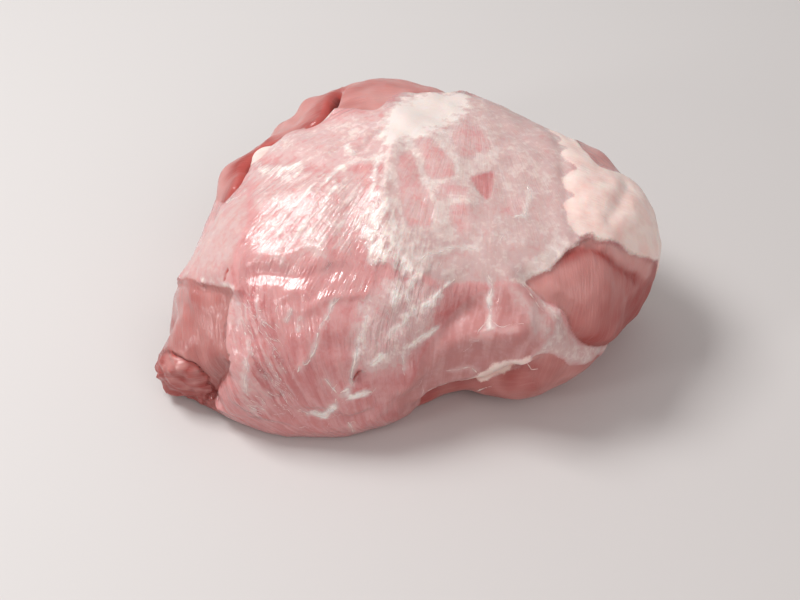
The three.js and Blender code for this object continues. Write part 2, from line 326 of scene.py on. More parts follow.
# Milky fascia over the meat: how dense it is, how softly it ends, and its outline
MILK = {
    "fat top": (1.4, 8, [
        (-10, 1), (-9, 8), (-6, 14), (-2, 19), (4, 24), (10, 26), (15, 23), (14, 15), (9, 7), (4, 2),
        (0, -2), (-4, -4), (-8, -5),
    ]),
    "plateau": (0.7, 4, [
        (-6, -2), (3, 1), (11, 13), (13, 24), (22, 34), (36, 28), (42, 17), (42, 4), (42, -8),
        (42, -19), (42, -28), (41, -33), (37, -38), (35, -42), (30, -46), (24, -46), (18, -46),
        (15, -45), (8, -44), (1, -42), (-4, -38), (-8, -32), (-9, -24), (-9, -16), (-8, -8),
    ]),
    "between the windows": (0.92, 4, [
        (-8, -2), (0, 3), (8, 6), (16, 8), (21, 0), (20, -10), (15, -24), (11, -33), (2, -33),
        (-6, -30), (-8, -18),
    ]),
    "plateau's corner": (0.95, 3, [(27, -46), (36, -48), (41, -38), (44, -33), (36, -31), (29, -38)]),
    "crumpled": (0.95, 3, [
        (-14, -22), (-10, -21), (-6, -24), (-5, -28), (0, -31), (3, -34), (3, -40), (-2, -42),
        (-7, -41), (-9, -39), (-13, -39), (-15, -29),
    ]),
    "above the wedge": (0.6, 3, [(24, -47), (31, -51), (38, -57), (44, -62), (39, -64), (30, -55)]),
    "wedge": (0.74, 2.2, [
        (36, -52), (44, -55.5), (51, -62.5), (60, -65.5), (72, -62), (83, -58), (80, -62), (69, -67),
        (58, -71), (50, -70), (44, -69), (36, -71), (40, -66), (41, -60),
    ]),
    "front belly's rim": (0.5, 3, [
        (-56, -41), (-51, -43), (-48, -48), (-53, -56), (-52, -64), (-54, -72), (-62, -73),
        (-60, -66), (-58, -58), (-58, -50),
    ]),
    "left skirt": (0.56, 7, [
        (-76, 2), (-53, -10), (-47, -9), (-44, -21), (-47, -29), (-51, -38), (-55, -42), (-63, -37),
        (-75, -30), (-80, -16),
    ]),
    # The upper left is milkier fascia, made paler partly as a painted sheen
    "upper left": (0.68, 7, [
        (-46, 14), (-33, 13), (-19, 12), (-9, 12), (-6, 0), (-12, -10), (-22, -13), (-33, -6), (-47, 5),
    ]),
    "wet belly": (0.64, 7, [
        (-48, 2), (-33, -6), (-22, -10), (-12, -11), (-11, -20), (-14, -28), (-17, -35), (-24, -37),
        (-34, -37), (-43, -34), (-44, -18),
    ]),
    "smear by the slit": (0.85, 2.5, [
        (-46, 4), (-43, 2), (-38, -3), (-35, -5), (-31, -5), (-29, -8), (-30, -12), (-34, -13),
        (-38, -9), (-43, -4),
    ]),
    # The belly's two patches are milkier fascia, and partly a painted highlight where the wet belly
    # shines
    "belly's upper patch": (0.75, 4, [
        (-30, -18), (-28, -14), (-25, -12), (-22, -12), (-20, -14), (-19, -18), (-21, -22),
        (-25, -24), (-28, -22),
    ]),
    "belly's lower patch": (0.7, 4, [
        (-40, -28), (-38, -26), (-33, -26), (-30, -24), (-27, -24), (-23, -25), (-21, -27),
        (-22, -30), (-29, -32), (-35, -32),
    ]),
    "above the pit": (0.66, 5, [
        (-13, -44), (3, -43), (5, -52), (1, -60), (-6, -66), (-14, -70), (-20, -68), (-20, -58),
    ]),
    "front patch": (0.3, 4, [
        (-51, -58), (-46, -58), (-42, -64), (-42, -74), (-48, -78), (-55, -77), (-54, -68),
    ]),
    "rim patch": (0.32, 3, [(-50, -43), (-45, -42), (-42, -45), (-43, -53), (-48, -56), (-51, -52)]),
    "foot patch": (0.3, 3, [(-66, -70), (-60, -70), (-55, -79), (-59, -83), (-66, -76)]),
    "far right": (0.6, 9, [
        (44, 20), (58, 18), (80, 26), (92, 44), (66, 76), (36, 84), (28, 60), (30, 40),
    ]),
    "far left": (0.55, 8, [(-84, 12), (-76, 0), (-84, -10), (-104, -8), (-118, 8), (-104, 24)]),
}

# How dense the fascia is outside those places, and at the rim of each
PLAIN_MILK = 0.34
THIN_MILK = 0.2

# Places where the fascia is finely crinkled, with pale streaks that are partly painted glints. The wet
# belly is so too, but by less.
FROSTED = [
    "smear by the slit", "belly's upper patch", "belly's lower patch", "front patch", "rim patch",
    "foot patch", "crumpled",
]
BELLY_FROST = 0.45

# Windows where the plateau's fascia is thin and smooth, all of them equally wet: how dense it still is,
# how soft the window's edge is, and its outline
WINDOWS = [
    (0.53, 1.0, [
        (-4, -6), (-2, -6), (-1, -10), (0, -15), (2, -19), (3, -24), (2.5, -28), (0, -28.5), (-3, -28),
        (-5, -25), (-5.5, -20), (-6, -13), (-5.5, -8),
    ]),
    (0.53, 1.2, [
        (-1.5, -3), (0, -1), (3, -2), (5, -5), (7, -8), (8, -11), (8, -14), (5, -15), (3, -15),
        (1, -12), (0.5, -8),
    ]),
    (0.18, 0.7, [(12, -14), (14.5, -12), (18, -10.5), (18, -14), (17, -19), (16, -20), (14, -17)]),
    (0.54, 2.4, [(8, -1), (9, 4), (12, 7), (15, 6), (17, 2), (18, -1), (16, -5), (12, -7), (10, -6)]),
    (0.58, 2, [(4, -16), (7, -16), (11, -17), (12, -20), (11, -21), (7, -21), (4, -22), (3, -19)]),
    (0.55, 2, [(7, -23), (10, -22), (13, -24), (13, -27), (12, -30), (10, -31), (8, -28), (7, -25)]),
    (0.55, 1.8, [(20, -23), (22, -19), (26, -19), (27, -23), (25, -26)]),
]
WINDOW_WETNESS = 0.4

# White bands of fascia, all about equally dense: line, half the width at its start and at its end
BANDS = [
    ([(-9, -3), (-11, -11), (-12, -18), (-14, -24), (-16, -29)], 1.2, 1.8),
    ([(-5, 1), (-7, -6), (-8, -12), (-9, -18), (-9.5, -24), (-9, -30), (-8, -34)], 1.6, 3.0),
    ([(-2, -5), (-1, -10), (0.5, -15), (2.5, -19), (3.5, -24), (3.5, -27)], 0.9, 0.8),
    ([(-25, 35), (-29, 26), (-32, 22), (-36, 18)], 0.7, 0.6),
    ([(-12, -22), (-8, -24), (-5, -22)], 0.8, 0.8),
    ([(9, -43), (6, -45), (3, -48), (0, -50), (-4, -52)], 0.9, 1.3),
    ([(0, -35), (-5, -41), (-8, -50)], 0.9, 1.3),
    ([(-2, -42), (-3, -47), (-2, -51), (-4, -52)], 1.0, 0.8),
    ([(-4, -51), (-5, -54), (-9, -57), (-12, -60)], 0.9, 0.9),
    ([(-12, -64), (-16, -67)], 0.9, 1.0),
    ([(6, -56), (2, -58), (-3, -60), (-7, -60)], 1.2, 0.8),
    ([(18, -43), (19, -49), (20, -52), (21, -57)], 0.5, 0.3),
    ([(-77, -27.5), (-69, -31), (-63, -35.5), (-56, -38.8), (-51.5, -41)], 0.4, 0.5),
    ([(23, -26), (26, -25), (27, -22), (28, -17), (27, -15)], 0.4, 0.3),
    ([(21, -19), (23, -17), (22, -21)], 0.3, 0.3),
    ([(-2, -39), (1, -36), (5, -35), (9, -34), (14, -35)], 0.5, 0.3),
    ([(-4, -43), (0, -39.5), (5, -38), (11, -37.5), (17, -39)], 0.4, 0.3),
    ([(2, -42), (7, -40.5), (13, -40), (19, -41), (25, -43)], 0.4, 0.3),
    ([(14, -43), (17, -44), (22, -45), (27, -45), (30, -46)], 0.4, 0.5),
    ([(5, -20), (9, -20), (12, -21), (14, -22), (16, -24)], 0.3, 0.2),
    ([(-46, 14), (-42, 10), (-37, 13.5), (-30, 13.5), (-25, 14), (-22, 16.5)], 0.7, 0.7),
    ([(29, -46), (35, -42), (40, -35), (43, -33)], 0.8, 0.8),
    ([(-28, -75.5), (-23, -76), (-18, -75)], 0.8, 0.7),
    ([(-40, -82), (-35, -83), (-30, -79)], 0.7, 0.9),
    ([(12, 30), (19, 38), (22, 47), (24, 53), (19, 64), (16, 70), (13, 80), (6, 92)], 1.0, 0.6),
    ([(-70, 10), (-82, 18), (-92, 21), (-98, 33)], 0.5, 0.4),
]
BAND_MILK = 0.92

# White threads of sinew: line, radius at its start and at its end. The fascia is milkier along them.
SINEWS = [
    ([
        (-21, -46), (-24, -49), (-25, -51), (-28, -55), (-30, -59), (-32, -62), (-36, -65), (-38, -67),
    ], 0.3, 0.25),
    ([(-33, -51), (-35, -56)], 0.25, 0.15), ([(-35, -49), (-38, -53)], 0.2, 0.15),
    ([(-19, -61), (-20, -65), (-22, -69), (-23, -73), (-27, -75)], 0.4, 0.35),
    ([(-31, -69), (-29, -73), (-28, -75)], 0.15, 0.4),
    ([(-27, -78), (-22, -76), (-17, -75)], 0.25, 0.35),
    ([(-44, -80), (-41, -82), (-35, -83), (-30, -79), (-29, -77)], 0.2, 0.3),
    ([(-28, -86), (-28, -90), (-29, -96)], 0.25, 0.15),
    ([(-15, -52), (-17, -58), (-19, -61)], 0.2, 0.2), ([(-12, -63), (-16, -67)], 0.3, 0.25),
    ([(18, -43), (19.5, -47), (19, -51), (21, -55), (20.5, -58)], 0.3, 0.2),
    ([(21, -56), (25, -59), (31, -59.5)], 0.15, 0.1), ([(20.5, -57), (19, -60), (16, -60)], 0.15, 0.1),
    ([(9, -43), (6, -45), (3, -48), (0, -50)], 0.2, 0.2),
    ([(6, -56), (1, -58), (-3, -60)], 0.2, 0.15), ([(-7, -45), (-8, -50)], 0.2, 0.15),
    ([(-2, -42), (-4, -47), (-2, -51)], 0.2, 0.2),
    ([(-4, -51), (-5, -54), (-9, -57), (-10, -59)], 0.2, 0.15),
    ([(-1, -60), (-5, -61), (-6, -64), (-6, -69)], 0.2, 0.15),
    ([(28, -45), (31, -48), (34, -51), (37, -55)], 0.3, 0.25),
    ([(9, -69), (14, -69), (18, -69), (21, -71)], 0.2, 0.25),
    ([(3, -75), (12, -74), (20, -75)], 0.25, 0.3), ([(34, -70), (40, -75), (44, -75)], 0.25, 0.2),
    ([(29, -79), (27, -83), (26, -87)], 0.35, 0.25),
    ([(-19, -1), (-18, -3), (-17, -6), (-17, -9), (-18, -10), (-21, -12), (-23, -15)], 0.18, 0.15),
    ([(-17, -9), (-14, -9), (-10, -9)], 0.15, 0.15),
    ([(-56, -7), (-51, -9), (-47, -8)], 0.2, 0.15),
    ([(-2, -39), (1, -36), (5, -35), (9, -34), (14, -35)], 0.25, 0.15),
    ([(23, -26), (26, -25), (27, -22), (28, -17), (27, -15)], 0.25, 0.15),
    ([(-51, -53), (-51, -59), (-54, -64), (-57, -68), (-59, -72)], 0.25, 0.2),
]

# Lines along which the cut meat is fresher and redder: line, how far it reaches
FRESH = [
    ([(38, -39), (45, -34), (52, -34.5), (60, -37), (72, -37)], 3),
    ([(-96, -56), (-104, -62), (-100, -70)], 5),
    ([(-25, 42), (-27, 30), (-30, 20), (-36, 17)], 5),
    ([(-42, 17), (-49, 18), (-54, 11), (-56, 2), (-63, -1)], 5),
]

# Which way the fibres run in some places, as a direction on the map. The patterns of two such places
# lie a gap apart, so that none runs on into the next.
FIBRES = {
    "right muscle": (0.35, -1), "left lobe": (-0.25, -1), "tip of the lobe": (1, -0.6),
    "fat pad": (1, -0.2), "behind the fat pad": (1, -0.6), "under the roll": (1, 0.2),
}
GRAIN_GAP = 40

# Elsewhere the fibres fan out from one place. They have their real width at the fan's middle, and at the
# left front they bend beyond a certain distance.
FAN_FROM = (14, 24)
FAN_MIDDLE = 60
FAN_BEND = 0.5
BENT_BEYOND = 84

# The roll along the front, where the meat is darker: partly its own colour, partly a painted shade
ROLL = [
    (15, -47), (30, -47), (40, -56), (60, -67), (90, -62), (96, -96), (0, -104), (-10, -82), (-3, -67),
    (5, -57),
]

# How wet each place looks, where it isn't as wet as the fascia at the front
WETNESS = {
    "wet belly": 0.72, "upper left": 0.5, "plateau": 0.2, "fat top": 0.3, "left skirt": 0.3,
    "back muscle": 0.4, "right muscle": 0.3, "fat pad": 0.45, "wedge": 0.4, "front roll": 0.3,
    "tip of the lobe": 0.7,
}

# How far from an outline or a band the distance to it is measured
EDGE_REACH = 10


def lies_inside(outline):
    """How far each point of the skin lies inside an outline on the map, in mm, and below 0 outside it."""
    distance, _, _ = nearest(outline, form, form_normals, EDGE_REACH, closed=True)
    rim = smooth_line(outline, closed=True)
    inside = np.zeros(len(form), bool)
    for (x0, y0), (x1, y1) in zip(rim[:-1], rim[1:]):
        if y0 != y1:
            crosses = (on_map[:, 1] > min(y0, y1)) & (on_map[:, 1] <= max(y0, y1))
            inside ^= crosses & (on_map[:, 0] < x0 + (on_map[:, 1] - y0) / (y1 - y0) * (x1 - x0))
    return np.where(inside, distance, -distance)


# How far each point lies inside each outline, and how far the outlines' ragged edges wander
inside = {name: lies_inside(outline) for name, outline in {**FAT, "front roll": ROLL}.items()}
for kind in (BARE, MILK):
    inside.update({name: lies_inside(outline) for name, (*_, outline) in kind.items()})
tatter = 1.6 * noise_at(form, 6, 20) + 1.2 * noise_at(form, 2.6, 30)
bare = np.max([inside[name] for name in BARE], axis=0) + 0.5 * tatter
fat = np.max([inside[name] for name in FAT], axis=0) + 0.5 * tatter

# How milky, wet and finely crinkled the fascia is
# Thinner fascia low down and over the front roll, partly real and partly a painted shade there
milk = PLAIN_MILK - 0.1 * smoothstep(share, 0.45, 0.85) - 0.1 * smoothstep(inside["front roll"], -5, 8)
for name, (density, softness, _) in MILK.items():
    depth = inside[name] + 0.3 * softness * tatter
    milk = np.maximum(milk, THIN_MILK + (density - THIN_MILK) * smoothstep(depth, -softness, softness))
wetness = np.ones(len(form))
for name, amount in WETNESS.items():
    wetness += (amount - wetness) * smoothstep(inside[name], -2, 2)
for density, softness, outline in WINDOWS:
    thinned = smoothstep(lies_inside(outline) + 0.4 * tatter, -softness, softness)
    milk += (density - milk) * thinned
    wetness += (WINDOW_WETNESS - wetness) * thinned
uneven_band = BAND_MILK + 0.2 * noise_at(form, 2.8, 75)
for line, start_half, end_half in BANDS:
    distance, _, along = nearest(line, form, form_normals, EDGE_REACH)
    ends = smoothstep(np.minimum(along, 1 - along), -0.05, 0.12)
    half = (start_half + (end_half - start_half) * along) * ends
    milk = np.maximum(milk, uneven_band * smoothstep(half - distance + 1.3 * tatter, -2.3, 1.5))
for line, start_radius, end_radius in SINEWS:
    distance, _, along = nearest(line, form, form_normals, 3)
    milk += (0.1 + start_radius) * bell(distance / 1.2) * taper(along)
frost = smoothstep(np.max([inside[name] for name in FROSTED], axis=0) + tatter, -3, 3)
frost = np.maximum(frost, BELLY_FROST * smoothstep(inside["wet belly"] + tatter, -4, 4))

# Coordinates along and across the fibres, set apart where another muscle begins
from_fan = on_map - FAN_FROM
fan_turn = np.arctan2(from_fan[:, 0], -from_fan[:, 1])
fan_reach = np.hypot(*from_fan.T)
bent = FAN_BEND * smoothstep(-on_map[:, 0], 0, 55) * np.maximum(fan_reach - BENT_BEYOND, 0)
grain = np.stack([fan_reach, fan_turn * FAN_MIDDLE - bent, np.zeros(len(form))], 1)
for i, (name, (x, y)) in enumerate(FIBRES.items()):
    here = inside[name] > 0
    length = math.hypot(x, y)
    grain[here, 0] = on_map[here] @ (x, y) / length
    grain[here, 1] = on_map[here] @ (-y, x) / length
    grain[here, 2] = GRAIN_GAP * (i + 1)

# How red the meat is, with darker meat low down and in the front roll, partly its own colour and partly a
# painted shade of the lower and front sides, and how deep in a slit each point lies
flush_and_shade = 0.3 + 0.2 * noise_at(form, 14, 70) + 0.5 * smoothstep(inside["front roll"], -5, 8)
mottle = 0.14 * noise_at(form, 6, 80) + 0.16 * noise_at(form, 17, 81)
for name, (high, low, _) in BARE.items():
    there = high + (low - high) * smoothstep(share, 0.72, 1.02) + mottle
    flush_and_shade += (there - flush_and_shade) * smoothstep(inside[name], -1.5, 0.5)
fresh = np.zeros(len(form))
for line, reach in FRESH:
    distance, _, _ = nearest(line, form, form_normals, 3 * reach)
    fresh = np.maximum(fresh, bell(distance / reach))
on_tip = smoothstep(inside["tip of the lobe"], -3, 2)
flush_and_shade += 0.35 * fresh + 0.4 * on_tip * noise_at(form, 2.5, 82)
slit = np.zeros(len(form))
for line, width, _ in SLITS:
    distance, side, along = nearest(line, form, form_normals, 5 * width)
    # A wide slit is red further out over the bare muscle, to the right of its line
    spread = np.where(side < 0, 2.0, 0.9) if width > 2 else 0.9
    slit = np.maximum(slit, bell(distance / (spread * width)) * taper(along) - 0.06 * np.abs(tatter))

# Fine relief in mm: the layers' own thickness, wrinkles in the fascia, fibres on bare muscle, lobes in
# the fat and torn flesh. The whole skin is drawn in a little, so that it keeps to the solid's size.
FAT_THICKNESS = 0.45
FASCIA_THICKNESS = 0.4
CUT_AWAY = 0.35
CREST_HEIGHT = 0.28
RIPPLE_HEIGHT = 0.16
FIBRE_HEIGHT = 0.16
FROST_HEIGHT = 0.16
TORN_TIP = 1.9
TORN_CUT = 0.5
DRAWN_IN = 0.4
on_bare = smoothstep(bare, -0.8, 0.8)
on_fat = smoothstep(fat, -0.9, 0.9)
on_fascia = (1 - on_bare) * (1 - on_fat)
crests = 1 - 2.2 * np.abs(noise_at(grain, (13, 3.4, 1), 50))
ripples = noise_at(grain, (6, 2.4, 1), 55)
crumples = noise_at(form, 2.8, 60)
lobes = noise_at(form, (6, 5, 5), 65) + 0.5 * noise_at(form, 2.4, 66)
fibre = noise_at(grain, (16, 2.6, 1), 40)
relief = relief_at(form, form_normals, 0.25 * tatter)
relief += FAT_THICKNESS * on_fat * (1 + 0.5 * lobes) - CUT_AWAY * on_bare
relief += FASCIA_THICKNESS * milk * on_fascia
calm = 1 - 0.6 * smoothstep(share, 0.5, 0.7) * (1 - frost)
relief += on_fascia * wetness * calm * (CREST_HEIGHT * crests + RIPPLE_HEIGHT * ripples)
relief += FIBRE_HEIGHT * fibre * on_bare
crumple_height = on_fascia * (0.04 + 0.3 * smoothstep(inside["crumpled"], -2, 2)) + 0.08 * on_bare
relief += crumple_height * crumples
rough = noise_at(form, (4.5, 4.5, 3.5), 90) + 0.6 * noise_at(form, 2, 91)
relief += (TORN_TIP * on_tip + TORN_CUT * fresh * on_bare) * rough - DRAWN_IN
relief += FROST_HEIGHT * frost * on_fascia * noise_at(form, 2, 92)

# The relief fades out towards the foot, so that the roast keeps its flat base
fade = 1 - smoothstep(share, 1.2, FOOT)
skin = form + form_normals * (relief * fade)[:, None]
skin[:, 2] = np.maximum(skin[:, 2], 0)

roast_mesh = bpy.data.meshes.new("roast")
roast_mesh.from_pydata((skin * MM).tolist(), [], skin_faces.tolist())
roast_mesh.shade_smooth()
painted = {
    "bare": bare, "fat": fat, "milk": milk, "wetness": wetness, "frost": frost, "flush_and_shade": flush_and_shade,
    "slit": slit,
}
for name, values in painted.items():
    layer = roast_mesh.attributes.new(name, "FLOAT", "POINT")
    layer.data.foreach_set("value", values.astype(np.float32))
layer = roast_mesh.attributes.new("grain", "FLOAT_VECTOR", "POINT")
layer.data.foreach_set("vector", grain.astype(np.float32).ravel())
roast = bpy.data.objects.new("roast", roast_mesh)
bpy.context.scene.collection.objects.link(roast)


def linear(hex_colour, alpha=1.0):
    """An sRGB hex colour as the linear colour that a node takes."""
    channels = [int(hex_colour[i:i + 2], 16) / 255 for i in (1, 3, 5)]
    return [c / 12.92 if c <= 0.04045 else ((c + 0.055) / 1.055) ** 2.4 for c in channels] + [alpha]


def add_node(tree, kind, inputs=None, output=None, **settings):
    """Adds a node with its settings, sets or links its inputs by name, and gives back its output."""
    node = tree.nodes.new(kind)
    for name, value in settings.items():
        setattr(node, name, value)
    for name, value in (inputs or {}).items():
        socket = next(s for s in node.inputs if s.enabled and name in (s.name, s.identifier))
        if isinstance(value, bpy.types.NodeSocket):
            tree.links.new(value, socket)
        else:
            socket.default_value = value
    return next((s for s in node.outputs if s.enabled and output in (None, s.name)), None)


# Wet raw pork: pink meat under a clear to milky skin, cream fat and redder bare muscle, all under a film
# of water. The film gives small bright glints on every wrinkle of the fascia and a soft sheen on muscle
# and fat.
raw_pork = bpy.data.materials.new("raw_pork_wet")
raw_pork.use_nodes = True
pork = raw_pork.node_tree
pork.nodes.clear()

# Patterns of real sizes in mm: those along the grain are long and narrow, and the others are as wide
# as they are long
place = add_node(pork, "ShaderNodeTexCoord", output="Object")
along_grain = add_node(pork, "ShaderNodeAttribute", output="Vector", attribute_name="grain")
in_streaks, in_fibres, in_wrinkles = (
    add_node(pork, "ShaderNodeMapping", {"Vector": along_grain, "Scale": (1 / length, 1 / width, 1.0)})
    for length, width in ((12, 2.2), (8, 0.6), (6, 1.3))
)
kinds = (
    (place, 1 / (0.9 * MM), 3.0, 0.0), (place, 1 / (7 * MM), 4.0, 0.0), (in_streaks, 1.0, 4.0, 0.6),
    (in_fibres, 1.0, 2.0, 0.0), (in_wrinkles, 1.0, 3.0, 0.4), (place, 1 / (2.2 * MM), 5.0, 0.6),
)
fine, blotches, streaks, fibres, wrinkles, wisps = (
    add_node(pork, "ShaderNodeTexNoise", {
        "Vector": vector, "Scale": scale, "Detail": detail, "Distortion": distortion,
    })
    for vector, scale, detail, distortion in kinds
)

# How far each pattern swings the fascia's density, and whether it does so where the fascia is clear,
# cloudy or crinkled. The wrinkles' pale streaks where it is crinkled are partly painted glints.
wet =add_node(pork, "ShaderNodeAttribute", output="Fac", attribute_name="wetness")
thick = add_node(pork, "ShaderNodeAttribute", output="Fac", attribute_name="milk")
frosted = add_node(pork, "ShaderNodeAttribute", output="Fac", attribute_name="frost")
thin_to_thick = {"Value": thick, "From Min": 0.3, "From Max": 0.75}
clear = add_node(pork, "ShaderNodeMapRange", {**thin_to_thick, "To Min": 1.0, "To Max": 0.2})
cloudy = add_node(pork, "ShaderNodeMapRange", {**thin_to_thick, "To Min": 0.3, "To Max": 1.0})
patterns = (
    (streaks, 0.25, clear), (blotches, 0.3, cloudy), (wisps, 0.35, cloudy), (fine, 0.08, cloudy),
    (wrinkles, 0.7, frosted),
)
density = thick
for pattern, swing, where in patterns:
    limits = {
        "Value": pattern, "From Min": 0.3, "From Max": 0.7, "To Min": -swing / 2, "To Max": swing / 2,
    }
    change = add_node(pork, "ShaderNodeMapRange", limits)
    change = {"Value": change, "Value_001": where, "Value_002": density}
    density = add_node(pork, "ShaderNodeMath", change, operation="MULTIPLY_ADD")

# Meat under the fascia, then the fascia's tones from thin to thick: where each begins and is full
# The meat's redness also carries the painted shade low down and over the front roll
red_and_shade = add_node(pork, "ShaderNodeAttribute", output="Fac", attribute_name="flush_and_shade")
beneath = {"Factor": red_and_shade, "A": linear("#CC7F7F"), "B": linear("#BC6B69")}
colour = add_node(pork, "ShaderNodeMix", beneath, data_type="RGBA")
fascia_tones = (
    (0.1, 0.4, "#D69B99"), (0.4, 0.65, "#D8B3B0"), (0.65, 0.9, "#E8D1CB"), (0.9, 1.15, "#F9ECE5"),
)
for begins, full, tone in fascia_tones:
    limits = {"Value": density, "From Min": begins, "From Max": full}
    amount = add_node(pork, "ShaderNodeMapRange", limits, interpolation_type="SMOOTHSTEP")
    layers = {"Factor": amount, "A": colour, "B": linear(tone)}
    colour = add_node(pork, "ShaderNodeMix", layers, data_type="RGBA")

# Where the fascia has dried it is a little greyer
dried = {"Value": wet, "From Min": 0.2, "From Max": 0.5, "To Min": 0.4, "To Max": 0.0}
layers = {"Factor": add_node(pork, "ShaderNodeMapRange", dried), "A": colour, "B": linear("#BBA6A1")}
colour = add_node(pork, "ShaderNodeMix", layers, data_type="RGBA")


def lay_tissue(under, kind, tatters, softness, over):
    """Lays one kind of tissue over another, up to its tattered edge."""
    depth = add_node(pork, "ShaderNodeAttribute", output="Fac", attribute_name=kind)
    ragged = add_node(pork, "ShaderNodeMapRange", {"Value": fine, "To Min": -tatters, "To Max": tatters})
    moved = add_node(pork, "ShaderNodeMath", {"Value": depth, "Value_001": ragged}, operation="ADD")
    limits = {"Value": moved, "From Min": -softness, "From Max": softness}
    covers = add_node(pork, "ShaderNodeMapRange", limits, interpolation_type="SMOOTHSTEP")
    return add_node(pork, "ShaderNodeMix", {"Factor": covers, "A": under, "B": over}, data_type="RGBA")


# Bare muscle with paler fibres, then cream fat, then the red inside of the slits, with a painted shade
# darkest at their bottom
lean = {"Factor": red_and_shade, "A": linear("#ECBBB5"), "B": linear("#A0403A")}
lean = add_node(pork, "ShaderNodeMix", lean, data_type="RGBA")
pale_fibres = {"Value": fibres, "From Min": 0.5, "From Max": 0.8, "To Max": 0.14}
lean = {"Factor": add_node(pork, "ShaderNodeMapRange", pale_fibres), "A": lean, "B": linear("#E2B4AD")}
lean = add_node(pork, "ShaderNodeMix", lean, data_type="RGBA")
colour = lay_tissue(colour, "bare", 0.8, 0.5, lean)
cream = {"Value": blotches, "From Min": 0.3, "From Max": 0.6}
cream = add_node(pork, "ShaderNodeMapRange", cream)
cream = {"Factor": cream, "A": linear("#ECC8BF"), "B": linear("#F5DED5")}
cream = add_node(pork, "ShaderNodeMix", cream, data_type="RGBA")
colour = lay_tissue(colour, "fat", 0.6, 0.6, cream)
depth_in_slit = add_node(pork, "ShaderNodeAttribute", output="Fac", attribute_name="slit")
for begins, full, tone in ((0.25, 0.7, "#B9524B"), (0.75, 0.95, "#5E1C1A")):
    limits = {"Value": depth_in_slit, "From Min": begins, "From Max": full}
    layers = {"Factor": add_node(pork, "ShaderNodeMapRange", limits), "A": colour, "B": linear(tone)}
    colour = add_node(pork, "ShaderNodeMix", layers, data_type="RGBA")

# The film of water, and the low bumps in it: how high those of each pattern are where the fascia is
# smooth and where it is crinkled
dullness = add_node(pork, "ShaderNodeMapRange", {"Value": wet, "To Min": 0.55, "To Max": 0.3})
film = add_node(pork, "ShaderNodeMapRange", {"Value": wet, "From Min": 0.1, "To Max": 1.0})
bumps = add_node(pork, "ShaderNodeMath", {"Value": fibres, "Value_001": 0.45}, operation="MULTIPLY")
for pattern, smooth_rise, frosted_rise in ((wrinkles, 0.8, 1.3), (wisps, 0.15, 1.1)):
    rise = {"Value": frosted, "To Min": smooth_rise, "To Max": frosted_rise}
    rise = add_node(pork, "ShaderNodeMapRange", rise)
    raised = {"Value": pattern, "Value_001": rise, "Value_002": bumps}
    bumps = add_node(pork, "ShaderNodeMath", raised, operation="MULTIPLY_ADD")
strength = add_node(pork, "ShaderNodeMapRange", {"Value": wet, "To Min": 0.1, "To Max": 1.0})
uneven = add_node(pork, "ShaderNodeBump", {"Height": bumps, "Strength": strength, "Distance": 0.65 * MM})
finish = {
    "Base Color": colour,
    "Roughness": dullness,
    "Specular IOR Level": 0.3,
    "Normal": uneven,
    "Subsurface Weight": 0.4,
    "Subsurface Radius": (1.0, 0.35, 0.25),
    "Subsurface Scale": 3 * MM,
    "Coat Weight": film,
    "Coat Roughness": 0.12,
    "Coat Normal": uneven,
}
surface = add_node(pork, "ShaderNodeBsdfPrincipled", finish)
add_node(pork, "ShaderNodeOutputMaterial", {"Surface": surface})
roast_mesh.materials.append(raw_pork)

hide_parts("pork_shoulder")
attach(roast, "root")

# The sinews: white threads and torn edges of fascia, under a millimetre thick, that run over the meat.
# Each line on the map is drawn down onto the skin, and short loose fibres are added at the front left,
# where their white flecks stand partly for painted glints on the wet fascia.

# Loose fibres: how many, the middle of their patch, its spread, their heading in degrees, their radius
LOOSE_FIBRES = [
    (45, (-22, -56), (24, 14), -115, 0.11), (32, (-46, -49), (2.5, 5), -60, 0.16),
    (50, (-48, -67), (3.5, 7), -62, 0.18), (16, (-59, -77), (4, 3), -40, 0.16),
    (18, (-40, -82), (9, 2.5), -20, 0.12),
]

# How far a fibre turns from its patch's heading, in radians, how long its two steps are, how large its
# kinks are, and how thin it ends, as a share of its radius
SCATTER = 0.25
STEP_RANGE = (0.8, 2)
KINK = 0.2
END_SHARE = 0.6

rng = np.random.default_rng(5)
for number, middle, spread, heading, start_radius in LOOSE_FIBRES:
    for _ in range(number):
        start = np.array(middle) + rng.normal(size=2) * spread
        turned = math.radians(heading) + rng.normal() * SCATTER
        step = rng.uniform(*STEP_RANGE) * np.array([math.cos(turned), math.sin(turned)])
        run = [tuple(start + k * step + rng.normal(size=2) * KINK) for k in range(3)]
        SINEWS.append((run, start_radius, END_SHARE * start_radius))

points, edges, radii = [], [], []
for line, start_radius, end_radius in SINEWS:
    run = from_map(smooth_line(line))
    edges += [(len(points) + k, len(points) + k + 1) for k in range(len(run) - 1)]
    points += (run * MM).tolist()
    radii += (np.linspace(start_radius, end_radius, len(run)) * MM).tolist()
sinew_mesh = bpy.data.meshes.new("sinews")
sinew_mesh.from_pydata(points, edges, [])
sinew_mesh.attributes.new("thick", "FLOAT", "POINT").data.foreach_set("value", radii)
sinews = bpy.data.objects.new("sinews", sinew_mesh)
bpy.context.scene.collection.objects.link(sinews)

# Moist sinew: off-white, a little pink and see-through, with a thin wet sheen
sinew_white = bpy.data.materials.new("sinew_moist")
sinew_white.use_nodes = True
moist = sinew_white.node_tree
moist.nodes.clear()
finish = {
    "Base Color": linear("#F6D8CF"),
    "Roughness": 0.4,
    "Subsurface Weight": 0.5,
    "Subsurface Radius": (1.0, 0.5, 0.4),
    "Subsurface Scale": 1.5 * MM,
    "Coat Weight": 0.6,
    "Coat Roughness": 0.1,
}
surface = add_node(moist, "ShaderNodeBsdfPrincipled", finish)
add_node(moist, "ShaderNodeOutputMaterial", {"Surface": surface})

